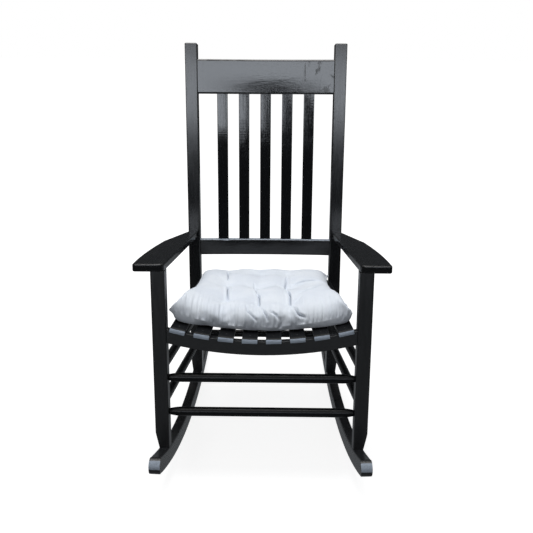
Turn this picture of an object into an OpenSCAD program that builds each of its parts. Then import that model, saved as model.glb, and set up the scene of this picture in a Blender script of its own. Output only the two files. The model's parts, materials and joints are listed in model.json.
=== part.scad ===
// Porch rocking chair with a slat back, paddle arms, a scooped slat seat
// and a loose tufted cushion. Sizes are in millimetres.
// The pieces are drawn square to each other, as they are made, in the frame of the chair:
// the floor line of the rockers is z = 0, the front of the front legs is y = 0,
// the back is towards +y, and x = 0 is the middle.
// at_rest() then rolls the whole chair back on its rockers to where it balances.

/* [Frame] */
// Width over the outsides of the front legs
front_span = 588; // [540:1:640]
// Width over the outsides of the back posts
back_span = 516; // [490:1:540]
// From the front of the front legs to the front of the back posts, at the arms
seat_run = 504; // [480:1:520]
// Side of the square front legs
leg_w = 38; // [34:1:44]
// Side of the square back posts
post_w = 39; // [34:1:44]
// Height of the top of the back posts above the floor line
post_top_z = 1196; // [1150:1:1250]
// Lean of the back posts against the front legs, in degrees
back_rake = 0; // [0:0.5:3]
// Radius on the long edges of legs and posts
leg_edge_r = 3; // [1:0.5:6]
// Rounding of the post tops
post_crown_r = 5; // [2:0.5:9]
// Height over which the foot of each leg tapers
foot_taper_h = 52; // [20:1:80]
// How much the outer side of a front foot tapers in
front_foot_taper = 11; // [0:1:14]
// How much the outer side of a back foot tapers in
back_foot_taper = 6; // [0:1:12]

/* [Rockers] */
// Radius of the rocking edge
rocker_r = 1061; // [960:1:1200]
// Height of the rocker board
rocker_h = 44; // [36:1:52]
// Thickness of the rocker board
rocker_w = 30; // [24:1:36]
// Place of the lowest point of the rocking edge behind the front legs
arc_y = 207; // [195:0.5:225]
// Reach of the rocker forward of its lowest point, in degrees of arc
rocker_front_deg = 17; // [14:0.1:19]
// Reach of the rocker behind its lowest point, in degrees of arc
rocker_rear_deg = 29.4; // [27:0.1:34]
// How much the rockers close in towards the back, in degrees
rocker_toe = 3.6; // [2:0.1:5]
// Distance of a rocker's middle from the middle of the chair, at its lowest point
rocker_x = 257; // [252:0.5:262]
// Radius on the edges of the rockers
rocker_edge_r = 3; // [1:0.5:6]
// How far the chair leans back where it balances, in degrees
lean = 9.55; // [6:0.05:11]

/* [Arms] */
// Height of the top of the arms
arm_top_z = 591.5; // [570:0.5:640]
// Thickness of the arms
arm_t = 21; // [16:1:26]
// Overhang of the arms beyond the outsides of the front legs
arm_side_hang = 45.5; // [26:0.5:60]
// Overhang of the arms in front of the legs
arm_nose = 6; // [2:1:20]
// How far the outer edge has drawn in by the end of the paddle
arm_waist_in = 28.5; // [18:0.5:40]
// Length of the paddle from the front of the legs to where it narrows
arm_paddle_run = 330; // [280:1:350]
// Width of the arm where it meets the back post
arm_tail_w = 32; // [24:1:36]
// Radius of the inner front corner
arm_inner_r = 18; // [8:1:26]
// Radius of the outer front corner
arm_outer_r = 8; // [4:1:20]
// Radius on the edges of the arms
arm_edge_r = 4; // [2:0.5:8]

/* [Back] */
// Height of the top of the crest rail, measured as the posts run
crest_top_z = 1147.5; // [1110:0.5:1170]
// Height of the crest rail board
crest_h = 107; // [80:1:120]
// Height of the top of the lower rail
rail_top_z = 563.5; // [540:0.5:600]
// Height of the lower rail board
rail_h = 54; // [44:1:66]
// Thickness of the crest rail and the lower rail
rail_t = 21; // [18:1:26]
// Setback of the rails behind the front of the posts, at their ends
rail_setback = 6; // [2:1:9]
// How far the rails bow back at the middle
rail_bow = 9; // [4:1:14]
// Radius on the edges of the crest and the lower rail
rail_edge_r = 5; // [2:0.5:8]
// Number of back slats
back_slats = 5; // [3:1:5]
// Width of a back slat
back_slat_w = 34.5; // [26:0.5:40]
// Thickness of a back slat
back_slat_t = 11; // [9:0.5:13]
// Spacing of the back slats
back_slat_pitch = 70.5; // [60:0.5:74]
// Depth to which a back slat is let into each rail
back_slat_let = 12; // [8:1:18]

/* [Seat] */
// Number of seat slats
seat_slats = 8; // [6:1:8]
// Width of a seat slat
seat_slat_w = 41.5; // [36:0.5:46]
// Thickness of a seat slat
seat_slat_t = 14; // [12:1:18]
// Spacing of the seat slats over the front rail
seat_slat_pitch = 64.3; // [60:0.1:66]
// Radius of the scooped top of the front rail
scoop_r = 1000; // [900:10:1200]
// Radius of the scooped top of the rear rail, which draws the slats together there
scoop_rear_r = 930; // [880:1:960]
// Height of the lowest point of the scooped rail tops
seat_z = 377.5; // [360:0.5:400]
// Height of the seat rails
seat_rail_h = 38; // [30:1:50]
// Thickness of the seat rails
seat_rail_t = 20; // [16:1:24]
// Setback of the front seat rail behind the front of the legs
seat_rail_setback = 4; // [1:1:10]
// Overhang of the slat noses in front of the front seat rail
slat_nose = 18; // [8:1:26]
// Rounding of the top of the slat noses
slat_nose_r = 11; // [5:1:12]

/* [Rungs] */
// Diameter of the front rungs
front_rung_d = 25.5; // [20:0.5:30]
// Diameter of the side and rear rungs
side_rung_d = 25; // [18:0.5:28]
// Diameter of a rung where it meets a leg
rung_end_d = 17; // [15:0.5:18]
// Length over which a rung tapers to its ends
rung_taper = 34; // [20:1:50]
// Diameter of the rung tenons
rung_tenon_d = 14; // [10:0.5:15]
// Height of the upper front rung
front_rung_high = 268; // [250:1:272]
// Height of the lower front rung
front_rung_low = 167; // [150:1:172]
// Height of the upper side rungs
side_rung_high = 292; // [286:1:304]
// Height of the lower side rungs
side_rung_low = 189; // [184:1:200]
// Height of the rear rung
rear_rung_z = 224; // [214:1:240]

/* [Cushion] */
// Width of the cushion over its front corners
cushion_front_w = 502; // [470:1:508]
// Width of the cushion over its rear corners
cushion_rear_w = 434; // [400:1:450]
// Setback of the cushion behind the front of the legs
cushion_front_y = 26; // [18:1:38]
// Depth of the cushion from front to back
cushion_run = 462; // [420:1:470]
// Thickness of the cushion at its fullest
cushion_t = 85; // [65:1:95]
// How far each side draws in between two corners
cushion_draw = 12; // [0:1:24]
// Depth of the sewn tufts
tuft_depth = 20; // [5:1:32]
// Spacing of the tufts across the cushion
tuft_pitch_x = 90; // [80:1:110]
// Spacing of the tufts from front to back
tuft_pitch_y = 145; // [120:1:155]
// Radius of the hollow round a tuft
tuft_r = 30; // [20:1:40]

/* [Fits] */
// Clearance round a tenon or a slat end in its mortise
fit = 0.2; // [0.1:0.05:0.4]
// Length of the tenons
tenon_l = 20; // [14:1:24]
// Shank diameter of the rocker bolts and arm screws
bolt_d = 6; // [5:0.5:8]
// Head diameter of the rocker bolts and arm screws
bolt_head_d = 12; // [10:0.5:14]
// Height of the bolt heads
bolt_head_h = 5; // [4:0.5:7]
// Depth at which the rocker bolt heads are sunk
bolt_sink = 12; // [8:1:16]
// Length of the rocker bolts inside the feet
bolt_grip = 45; // [30:1:60]
// Diameter of the dowels between the front legs and the arms
dowel_d = 10; // [8:0.5:12]
// Diameter of the seat nails
nail_d = 2.4; // [2:0.1:3]

/* [Hidden] */

paint = "#1b1c1e";
cotton = "#dde3ea";
steel = "#8d9196";

left = -1;
right = 1;
sides = [left, right];

// The round ends of posts and rockers run out past their sides by this, which leaves a soft arris
arris = 1;

// Arms, legs and posts
arm_under_z = arm_top_z - arm_t;
leg_x = front_span / 2 - leg_w / 2;
leg_mid_y = leg_w / 2;
post_x = back_span / 2 - post_w / 2;
front_gap = front_span - 2 * leg_w;
back_gap = back_span - 2 * post_w;
post_lean = tan(back_rake);

// Front face of a back post at a height
function post_front(z) = seat_run + (z - arm_top_z) * post_lean;
// Middle of a back post at a height
function post_mid(z) = post_front(z) + post_w / 2 / cos(back_rake);

// Rockers
rocker_mid_r = rocker_r - rocker_h / 2;
rocker_nose_r = rocker_h / 2 + arris;
rocker_nose_deg = asin(rocker_nose_r / rocker_mid_r) + 0.2;
// The overall depth is split evenly to the front and the back of the origin
front_reach = rocker_mid_r * sin(rocker_front_deg + lean) + rocker_nose_r;
rear_reach = rocker_mid_r * sin(rocker_rear_deg - lean) + rocker_nose_r;
toe_shortening = cos(rocker_toe);
rest_y = toe_shortening * (front_reach - rear_reach) / 2;
// Angle of arc at which a bolt runs, so that its middle lies in the middle of the foot
bolt_mid_r = rocker_r - rocker_h - bolt_grip / 2;
front_foot_deg = asin((leg_mid_y - arc_y) / bolt_mid_r / toe_shortening);
rear_foot_deg = asin((post_mid(0) - arc_y) / bolt_mid_r / toe_shortening);

// Back frame
bow_r = (back_gap * back_gap / 4 + rail_bow * rail_bow) / 2 / rail_bow;
rail_mid = rail_setback + rail_t / 2;
rail_tenon_t = 9;
crest_tenon_h = crest_h - 30;
rail_tenon_h = rail_h - 20;

// Seat
front_rail_y = seat_rail_setback + seat_rail_t / 2;
rear_rail_y = post_front(seat_z) + post_w / 2;
slat_y0 = seat_rail_setback - slat_nose;
slat_y1 = rear_rail_y + seat_rail_t / 2 + 2;
rail_span = rear_rail_y - front_rail_y;
// Radius of the scoop at a distance behind the front legs
function scoop_at(y) = scoop_r + (scoop_rear_r - scoop_r) * (y - front_rail_y) / rail_span;
slat_half_deg = asin(seat_slat_w / 2 / scoop_rear_r);
slat_lift = 0.15;
seat_tenon_h = 26;
seat_tenon_t = 12;
slat_notch = 1.5;
nail_l = 34;
nail_fit = 0.1;

// Rungs
side_turn = atan((leg_x - post_x) / (post_mid(side_rung_high) - leg_mid_y));

// Fasteners
screw_z = arm_top_z - arm_t / 2;
arm_screw_l = 40;
arm_tail_x = back_span / 2 - arm_tail_w / 2;
dowel_in_leg = 22;
dowel_in_arm = 13;
bolt_fit = 0.15;

// Rolls the chair back on its rockers and puts its floor spot at the origin
module at_rest() {
    translate([0, rest_y, rocker_r]) rotate([-lean, 0, 0]) translate([0, -arc_y, -rocker_r]) children();
}

// Carries what follows the rake of the back posts: z runs up the posts, y = 0 is their front
module on_posts() {
    translate([0, seat_run, arm_top_z]) rotate([-back_rake, 0, 0]) translate([0, 0, -arm_top_z]) children();
}

// A rectangle with round corners
module soft_rect(w, h, r) {
    square([w - 2 * r, h], center = true);
    square([w, h - 2 * r], center = true);
    for (x = [-1, 1], y = [-1, 1])
        translate([x * (w / 2 - r), y * (h / 2 - r)]) circle(r, $fn = 24);
}

// A straight bar with round edges that stands on the x-y plane
module bar(w, d, l, r) {
    linear_extrude(l) soft_rect(w, d, r);
}

// Places what is drawn in a rocker's own plane: the centre of its arc is the origin
module rocker_plane(side) {
    translate([side * rocker_x, arc_y, rocker_r]) rotate([0, 0, side * rocker_toe]) children();
}

// Places what runs outwards along the radius of a rocker at an angle of its arc
module on_rocker(side, deg) {
    rocker_plane(side) rotate([deg, 0, 0]) children();
}

// Hole for a rocker bolt, from the rocking edge up into the foot
module bolt_hole(side, deg) {
    on_rocker(side, deg) translate([0, 0, -rocker_r]) {
        translate([0, 0, -1]) cylinder(d = bolt_head_d + 2 * bolt_fit, h = bolt_sink + 1, $fn = 32);
        cylinder(d = bolt_d + 2 * bolt_fit, h = rocker_h + bolt_grip + 2, $fn = 24);
    }
}

module rocker(side) {
    color(paint) at_rest() difference() {
        rocker_plane(side) rotate([0, 90, 0]) difference() {
            rotate([0, 0, -rocker_front_deg - rocker_nose_deg])
                rotate_extrude(angle = rocker_front_deg + rocker_rear_deg + 2 * rocker_nose_deg, $fn = 360)
                    translate([rocker_mid_r, 0]) soft_rect(rocker_h, rocker_w, rocker_edge_r);
            rotate([0, 0, -rocker_front_deg]) mirror([0, 1, 0]) nose_waste();
            rotate([0, 0, rocker_rear_deg]) nose_waste();
        }
        bolt_hole(side, front_foot_deg);
        bolt_hole(side, rear_foot_deg);
    }
}

// What is sawn off to leave the round end of a rocker, towards +y
module nose_waste() {
    translate([rocker_mid_r, 0, 0]) linear_extrude(rocker_w + 2, center = true) difference() {
        translate([-rocker_h, 0]) square([2 * rocker_h, 2 * rocker_h]);
        circle(rocker_nose_r, $fn = 96);
    }
}

// Everything above the top of a rocker, for cutting a foot to it
module above_rocker(side) {
    rocker_plane(side) rotate([0, 90, 0])
        cylinder(r = rocker_r - rocker_h, h = 400, center = true, $fn = 360);
}

// Wedge that tapers the outer side of a foot
module foot_wedge(outer_x, taper, foot_z) {
    translate([outer_x, 0, foot_z + foot_taper_h]) rotate([0, atan(taper / foot_taper_h), 0])
        translate([0, -200, -300]) cube([100, 1000, 320]);
}

// Square mortise for a rail end in the inner side of a leg or a post
module mortise(l, t, h) {
    cube([2 * l, t + 2 * fit, h + 2 * fit], center = true);
}

// Round mortise for a rung, drawn along x
module rung_bore(l) {
    rotate([0, 90, 0]) cylinder(d = rung_tenon_d + 2 * fit, h = 2 * l, center = true, $fn = 32);
}

function foot_z(y) = rocker_r - sqrt(pow(rocker_r - rocker_h, 2) - pow(y - arc_y, 2));

module front_leg(side) {
    color(paint) at_rest() difference() {
        intersection() {
            translate([side * leg_x, leg_mid_y, 0]) bar(leg_w, leg_w, arm_under_z, leg_edge_r);
            above_rocker(side);
        }
        mirror([side == left ? 1 : 0, 0, 0])
            foot_wedge(front_span / 2, front_foot_taper, foot_z(leg_mid_y));
        translate([side * front_gap / 2, front_rail_y, seat_tenon_z(scoop_r, front_gap)])
            mortise(tenon_l + 1, seat_tenon_t, seat_tenon_h);
        for (z = [front_rung_high, front_rung_low])
            translate([side * front_gap / 2, leg_mid_y, z]) rung_bore(tenon_l + 1);
        for (z = [side_rung_high, side_rung_low]) side_rung_bore(side, z);
        translate([side * leg_x, leg_mid_y, arm_under_z - dowel_in_leg - 1])
            cylinder(d = dowel_d + 2 * fit, h = dowel_in_leg + 2, $fn = 32);
        bolt_hole(side, front_foot_deg);
    }
}

// Height of the middle of a seat rail's end, which is where its tenon sits
function seat_tenon_z(r, gap) = seat_z + r - sqrt(pow(r + seat_rail_h / 2, 2) - gap * gap / 4);

module back_post(side) {
    color(paint) at_rest() difference() {
        intersection() {
            on_posts() translate([side * post_x, post_w / 2, 0]) post_bar();
            above_rocker(side);
        }
        mirror([side == left ? 1 : 0, 0, 0])
            foot_wedge(back_span / 2, back_foot_taper, foot_z(post_mid(0)));
        translate([side * back_gap / 2, rear_rail_y, seat_tenon_z(scoop_rear_r, back_gap)])
            mortise(tenon_l + 1, seat_tenon_t, seat_tenon_h);
        on_posts() {
            translate([side * back_gap / 2, rail_mid, crest_top_z - crest_h / 2])
                mortise(tenon_l + 1, rail_tenon_t, crest_tenon_h);
            translate([side * back_gap / 2, rail_mid, rail_top_z - rail_h / 2])
                mortise(tenon_l + 1, rail_tenon_t, rail_tenon_h);
        }
        translate([side * back_gap / 2, post_mid(rear_rung_z), rear_rung_z]) rung_bore(tenon_l + 1);
        for (z = [side_rung_high, side_rung_low]) side_rung_bore(side, z);
        arm_screw_hole(side);
        bolt_hole(side, rear_foot_deg);
    }
}

// Square post with round long edges and an eased top
module post_bar() {
    intersection() {
        bar(post_w, post_w, post_top_z, leg_edge_r);
        translate([0, 0, post_top_z]) rotate([90, 0, 0])
            linear_extrude(2 * post_w, center = true) crown_outline();
        translate([0, 0, post_top_z]) rotate([90, 0, 90])
            linear_extrude(2 * post_w, center = true) crown_outline();
    }
}

module crown_outline() {
    translate([0, -post_top_z / 2])
        soft_rect(post_w + 2 * arris, post_top_z, post_crown_r + arris);
}

// Line of a side rung from the middle of the front leg, drawn along y
module side_rung_line(side, z) {
    translate([side * leg_x, leg_mid_y, z]) rotate([0, 0, side * side_turn]) children();
}

function side_rung_from() = leg_w / 2 / cos(side_turn);
function side_rung_to(z) = (post_front(z) - leg_mid_y) / cos(side_turn);

module side_rung_bore(side, z) {
    side_rung_line(side, z) rotate([-90, 0, 0]) {
        translate([0, 0, side_rung_from() - tenon_l + 4])
            cylinder(d = rung_tenon_d + 2 * fit, h = tenon_l, $fn = 32);
        translate([0, 0, side_rung_to(z) - 2])
            cylinder(d = rung_tenon_d + 2 * fit, h = tenon_l, $fn = 32);
    }
}

// A point on a smooth curve of four control points
function curve(a, b, c, d, t) =
    pow(1 - t, 3) * a + 3 * pow(1 - t, 2) * t * b + 3 * (1 - t) * t * t * c + pow(t, 3) * d;

arm_half = front_span / 2 + arm_side_hang;
arm_waist_x = arm_half - arm_waist_in;
arm_inner_x = front_gap / 2;
arm_tail_in = back_span / 2 - arm_tail_w;
arm_end_y = seat_run + 14;
arm_steps = 12;
// Paddle edge, then the neck that sweeps in to the post
arm_paddle = [[arm_half, arm_paddle_run * 0.05], [arm_half - 2, arm_paddle_run * 0.45],
              [arm_waist_x + 13, arm_paddle_run * 0.74], [arm_waist_x, arm_paddle_run]];
arm_neck = [[arm_waist_x, arm_paddle_run], [arm_waist_x - 13, arm_paddle_run + 34],
            [back_span / 2 + 25, arm_paddle_run + 72], [back_span / 2 - 3, arm_end_y]];
// Outline of a right arm, anticlockwise from its inner tail
arm_outline = concat(
    [[arm_tail_in, arm_end_y]],
    [for (i = [0:5]) let (a = 180 + i * 18)
        [arm_inner_x + arm_inner_r * (1 + cos(a)), arm_inner_r - arm_nose + arm_inner_r * sin(a)]],
    [for (i = [0:4]) let (a = 270 + i * 22.5)
        [arm_half - arm_outer_r * (1 - cos(a)), arm_outer_r - arm_nose + arm_outer_r * sin(a)]],
    [for (i = [1:arm_steps])
        curve(arm_paddle[0], arm_paddle[1], arm_paddle[2], arm_paddle[3], i / arm_steps)],
    [for (i = [1:arm_steps])
        curve(arm_neck[0], arm_neck[1], arm_neck[2], arm_neck[3], i / arm_steps)]
);

// Outline moved in by a distance, each point along the middle of its two edges
function shrunk(outline, by) = [for (i = [0:len(outline) - 1])
    let (
        n = len(outline),
        back = outline[i] - outline[(i + n - 1) % n],
        ahead = outline[(i + 1) % n] - outline[i],
        u = back / norm(back),
        v = ahead / norm(ahead),
        turn = u + v,
        mid = turn / norm(turn),
        open = max(0.3, mid[0] * u[0] + mid[1] * u[1])
    )
    outline[i] + by / open * [-mid[1], mid[0]]];

// A board of any outline with round top and bottom edges
module eased_board(outline, t, r) {
    steps = 4;
    rings = concat(
        [for (i = [0:steps]) let (a = i * 90 / steps) [r * (1 - sin(a)), r * (1 - cos(a))]],
        [for (i = [0:steps]) let (a = i * 90 / steps) [r * (1 - cos(a)), t - r * (1 - sin(a))]]
    );
    n = len(outline);
    points = [for (g = rings) for (p = shrunk(outline, g[0])) [p[0], p[1], g[1]]];
    walls = [for (k = [0:len(rings) - 2]) for (i = [0:n - 1]) let (j = (i + 1) % n)
        each [[k * n + i, (k + 1) * n + j, k * n + j], [k * n + i, (k + 1) * n + i, (k + 1) * n + j]]];
    floor_face = [for (i = [0:n - 1]) i];
    top_face = [for (i = [n - 1:-1:0]) (len(rings) - 1) * n + i];
    polyhedron(points, concat([floor_face, top_face], walls), convexity = 4);
}

// The arm meets the raked front of its post face to face
module armrest(side) {
    color(paint) at_rest() difference() {
        translate([0, 0, arm_under_z]) mirror([side == left ? 1 : 0, 0, 0])
            eased_board(arm_outline, arm_t, arm_edge_r);
        on_posts() translate([-500, 0, 0]) cube([1000, 100, arm_top_z + 100]);
        translate([side * leg_x, leg_mid_y, arm_under_z - 1])
            cylinder(d = dowel_d + 2 * fit, h = dowel_in_arm + 2, $fn = 32);
        arm_screw_hole(side);
    }
}

// Hole for the screw that holds an arm's tail, sunk in the back of the post
module arm_screw_hole(side) {
    translate([side * arm_tail_x, post_front(screw_z) + post_w, screw_z]) rotate([90, 0, 0]) {
        translate([0, 0, -10]) cylinder(d = bolt_head_d + 2 * bolt_fit, h = bolt_head_h + 12, $fn = 32);
        cylinder(d = bolt_d + 2 * bolt_fit, h = post_w + arm_screw_l - bolt_head_h, $fn = 24);
    }
}

// A bowed rail between the posts: z is its middle height on the posts
module bowed_rail(h, tenon_h) {
    intersection() {
        translate([0, rail_mid + rail_bow - bow_r, 0]) rotate([0, 0, 90 - rail_sector / 2])
            rotate_extrude(angle = rail_sector, $fn = 720)
                translate([bow_r, 0]) soft_rect(rail_t, h, rail_edge_r);
        cube([back_gap, 200, 2 * h], center = true);
    }
    for (s = sides)
        translate([s * (back_gap / 2 + tenon_l / 2 - 2), rail_mid, 0])
            cube([tenon_l + 4, rail_tenon_t, tenon_h], center = true);
}
rail_sector = 2 * asin((back_gap / 2 + rail_t) / bow_r);

// Where a back slat crosses the bowed rails, x runs along them
module back_slat_spot(i) {
    across = (i - (back_slats + 1) / 2) * back_slat_pitch;
    translate([0, rail_mid + rail_bow - bow_r, 0]) rotate([0, 0, -asin(across / bow_r)])
        translate([0, bow_r, 0]) children();
}

back_slat_z0 = rail_top_z - back_slat_let;
back_slat_z1 = crest_top_z - crest_h + back_slat_let;

module slat_mortises() {
    for (i = [1:back_slats])
        back_slat_spot(i) translate([0, 0, back_slat_z0 - fit])
            bar(back_slat_w + 2 * fit, back_slat_t + 2 * fit, back_slat_z1 - back_slat_z0 + 2 * fit, 2);
}

module crest_rail() {
    color(paint) at_rest() on_posts() difference() {
        translate([0, 0, crest_top_z - crest_h / 2]) bowed_rail(crest_h, crest_tenon_h);
        slat_mortises();
    }
}

module lower_back_rail() {
    color(paint) at_rest() on_posts() difference() {
        translate([0, 0, rail_top_z - rail_h / 2]) bowed_rail(rail_h, rail_tenon_h);
        slat_mortises();
    }
}

module back_slat(i) {
    color(paint) at_rest() on_posts() back_slat_spot(i) translate([0, 0, back_slat_z0])
        bar(back_slat_w, back_slat_t, back_slat_z1 - back_slat_z0, 2);
}

// A scooped seat rail between two legs, with a tenon at each end
module seat_rail(r, gap, y) {
    translate([0, y, 0]) {
        rotate([90, 0, 0]) linear_extrude(seat_rail_t, center = true) intersection() {
            translate([0, seat_z + r]) difference() {
                circle(r + seat_rail_h, $fn = 720);
                circle(r, $fn = 720);
            }
            translate([-gap / 2, 0]) square([gap, seat_z + 200]);
        }
        for (s = sides)
            translate([s * (gap / 2 + tenon_l / 2 - 2), 0, seat_tenon_z(r, gap)])
                cube([tenon_l + 4, seat_tenon_t, seat_tenon_h], center = true);
    }
}

module front_seat_rail() {
    color(paint) at_rest() difference() {
        seat_rail(scoop_r, front_gap, front_rail_y);
        for (i = [1:seat_slats]) nail_spot(i, front_rail_y) nail(nail_fit);
    }
}

module rear_seat_rail() {
    color(paint) at_rest() difference() {
        seat_rail(scoop_rear_r, back_gap, rear_rail_y);
        for (i = [1:seat_slats]) nail_spot(i, rear_rail_y) nail(nail_fit);
    }
}

// Angle round the scoop at which a seat slat lies
function slat_deg(i) = asin((i - (seat_slats + 1) / 2) * seat_slat_pitch / scoop_r);

// Lays a seat slat on both scooped rails: y runs along it from the front rail, z = 0 is its underside
module slat_place(i) {
    a = slat_deg(i);
    closing = (scoop_r - scoop_rear_r) * sin(a) / rail_span;
    rising = (scoop_r - scoop_rear_r) * (1 - cos(a)) / rail_span;
    translate([0, front_rail_y, seat_z + scoop_r]) rotate([0, -a, 0])
        translate([0, 0, -scoop_r * cos(slat_half_deg) + slat_lift])
            rotate([asin(rising), 0, asin(closing)]) children();
}

module seat_slat(i) {
    color(paint) at_rest() difference() {
        slat_place(i) intersection() {
            rotate([90, 0, 90]) linear_extrude(seat_slat_w, center = true)
                translate([slat_y0 - front_rail_y, 0]) slat_profile();
            translate([0, slat_y0 - front_rail_y - 1, seat_slat_t / 2]) rotate([-90, 0, 0])
                bar(seat_slat_w, seat_slat_t, slat_y1 - slat_y0 + 2, 2);
        }
        if (at_corner(i))
            on_posts() for (s = sides)
                translate([s * post_x, post_w / 2, seat_z])
                    cube([post_w + 2 * slat_notch, post_w + 2 * slat_notch, 400], center = true);
        for (y = [front_rail_y, rear_rail_y]) nail_spot(i, y) nail(nail_fit);
    }
}

// Side view of a seat slat, its nose at the origin
module slat_profile() {
    l = slat_y1 - slat_y0;
    difference() {
        square([l, seat_slat_t]);
        translate([0, seat_slat_t - slat_nose_r]) difference() {
            translate([-1, 0]) square([slat_nose_r + 1, slat_nose_r + 1]);
            translate([slat_nose_r, 0]) circle(slat_nose_r, $fn = 48);
        }
    }
}

// The outermost slats are notched round the back posts
function at_corner(i) = i == 1 || i == seat_slats;

// Where a nail goes through a slat into a rail, z = 0 is the top of the slat
module nail_spot(i, y) {
    beside_post = at_corner(i) && y == rear_rail_y ? sign(slat_deg(i)) * seat_slat_w / 4 : 0;
    slat_place(i) translate([-beside_post, y - front_rail_y, seat_slat_t]) children();
}

module nail(gap) {
    translate([0, 0, -nail_l - gap]) cylinder(d = nail_d + 2 * gap, h = nail_l + 4 * gap, $fn = 16);
}

// A turned rung between two shoulders, along z, with a round tenon at each end
module rung(l, d) {
    steps = 8;
    rotate_extrude($fn = 48) polygon(concat(
        [[0, -tenon_l + 5], [rung_tenon_d / 2, -tenon_l + 5], [rung_tenon_d / 2, 0]],
        [for (i = [0:steps]) [swell(i / steps, d), i / steps * rung_taper]],
        [for (i = [steps:-1:0]) [swell(i / steps, d), l - i / steps * rung_taper]],
        [[rung_tenon_d / 2, l], [rung_tenon_d / 2, l + tenon_l - 5], [0, l + tenon_l - 5]]
    ));
}
function swell(t, d) = rung_end_d / 2 + (d - rung_end_d) / 2 * sin(90 * t);

module front_rung(z) {
    color(paint) at_rest() translate([-front_gap / 2, leg_mid_y, z]) rotate([0, 90, 0])
        rung(front_gap, front_rung_d);
}

module rear_rung() {
    color(paint) at_rest() translate([-back_gap / 2, post_mid(rear_rung_z), rear_rung_z])
        rotate([0, 90, 0]) rung(back_gap, side_rung_d);
}

// A square shoulder would miss a leg that it meets askew, so a side rung's ends are trimmed to fit
module side_rung(side, z) {
    l = side_rung_to(z) - side_rung_from();
    color(paint) at_rest() side_rung_line(side, z) translate([0, side_rung_from(), 0]) rotate([-90, 0, 0])
        translate([0, 0, side_gap]) rung(l - 2 * side_gap, side_rung_d);
}
side_gap = rung_end_d / 2 * tan(side_turn) + 0.05;

// Cushion surface over a grid: u runs across and v from front to back, each from -1 to 1
cushion_n = 22;
rim_h = 5;
cushion_gap = 0.5;
// Share of the height at which the rim runs: the corners stand up, the middle of an edge droops
rim_corner = 0.42;
rim_droop = 0.14;
// How much of the seat's scoop still shows in the top of the cushion
crown_follow = 0.4;
cushion_mid_y = cushion_front_y + cushion_run / 2;
function seat_top(x, y) = seat_z + slat_lift + scoop_at(y)
    - sqrt(pow(scoop_at(y) * cos(slat_half_deg) - seat_slat_t - cushion_gap, 2) - x * x);
function cushion_x(u, v) =
    u * (cushion_front_w * (1 - v) + cushion_rear_w * (1 + v)) / 4 - u * cushion_draw * (1 - v * v);
function cushion_y(u, v) = cushion_mid_y + v * (cushion_run / 2 - cushion_draw / 2 * (1 - u * u));
// How full the cushion is: nothing at the rim, one over most of the middle
function fullness(u, v) = pow((1 - pow(u, 8)) * (1 - pow(v, 6)), 0.5);
// How far the nearest tuft pulls the top down
function tuft_pull(x, y) = max([for (i = [-1:1], j = [-1:1])
    let (d = norm([x - i * tuft_pitch_x, y - cushion_mid_y - j * tuft_pitch_y]) / tuft_r)
    exp(-d * d)]);
function channel_pull(x, y) = 0.45 * max([for (i = [-1:1])
    let (d = (x - i * tuft_pitch_x) / tuft_r * 1.6) exp(-d * d)]);
function rim_z(x, y, u, v) = seat_top(x, y)
    + cushion_t * (rim_droop + (rim_corner - rim_droop) * pow(abs(u * v), 2.5));
function crown_z(x, y) = seat_top(crown_follow * x, y) + cushion_t
    - tuft_depth * max(tuft_pull(x, y), channel_pull(x, y));
function cushion_top(x, y, u, v) = let (from = rim_z(x, y, u, v) + rim_h / 2)
    from + fullness(u, v) * (crown_z(x, y) - from);
function cushion_under(x, y, u, v) = max(seat_top(x, y),
    rim_z(x, y, u, v) - rim_h / 2 - fullness(u, v) * cushion_t / 2);
// Grid lines are closer together near the rim, where the surface turns fastest
function grid(i) = sin(90 * (2 * i / cushion_n - 1)) * 0.6 + (2 * i / cushion_n - 1) * 0.4;

module cushion() {
    n = cushion_n;
    m = n + 1;
    spots = [for (j = [0:n]) for (i = [0:n])
        [cushion_x(grid(i), grid(j)), cushion_y(grid(i), grid(j)), grid(i), grid(j)]];
    top = [for (s = spots) [s[0], s[1], cushion_top(s[0], s[1], s[2], s[3])]];
    under = [for (s = spots) [s[0], s[1], cushion_under(s[0], s[1], s[2], s[3])]];
    function at(i, j) = j * m + i;
    k = m * m;
    top_faces = [for (j = [0:n - 1]) for (i = [0:n - 1])
        each [[at(i, j), at(i + 1, j + 1), at(i + 1, j)], [at(i, j), at(i, j + 1), at(i + 1, j + 1)]]];
    under_faces = [for (j = [0:n - 1]) for (i = [0:n - 1]) each [
        [k + at(i, j), k + at(i + 1, j), k + at(i + 1, j + 1)],
        [k + at(i, j), k + at(i + 1, j + 1), k + at(i, j + 1)]]];
    rim = concat([for (i = [0:n - 1]) at(i, 0)], [for (j = [0:n - 1]) at(n, j)],
        [for (i = [n:-1:1]) at(i, n)], [for (j = [n:-1:1]) at(0, j)]);
    rim_faces = [for (q = [0:len(rim) - 1]) let (a = rim[q], b = rim[(q + 1) % len(rim)])
        each [[a, b, k + b], [a, k + b, k + a]]];
    color(cotton) at_rest() polyhedron(concat(top, under), concat(top_faces, under_faces, rim_faces), convexity = 6);
}

// Bolts up through the rockers into the feet, their heads sunk in the rocking edge
module rocker_bolts() {
    color(steel) at_rest() for (s = sides, deg = [front_foot_deg, rear_foot_deg])
        on_rocker(s, deg) translate([0, 0, -rocker_r + bolt_sink]) {
            translate([0, 0, -bolt_head_h]) cylinder(d = bolt_head_d, h = bolt_head_h, $fn = 32);
            cylinder(d = bolt_d, h = rocker_h - bolt_sink + bolt_grip, $fn = 24);
        }
}

module arm_dowels() {
    color("tan") at_rest() for (s = sides)
        translate([s * leg_x, leg_mid_y, arm_under_z - dowel_in_leg])
            cylinder(d = dowel_d, h = dowel_in_leg + dowel_in_arm, $fn = 32);
}

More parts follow.
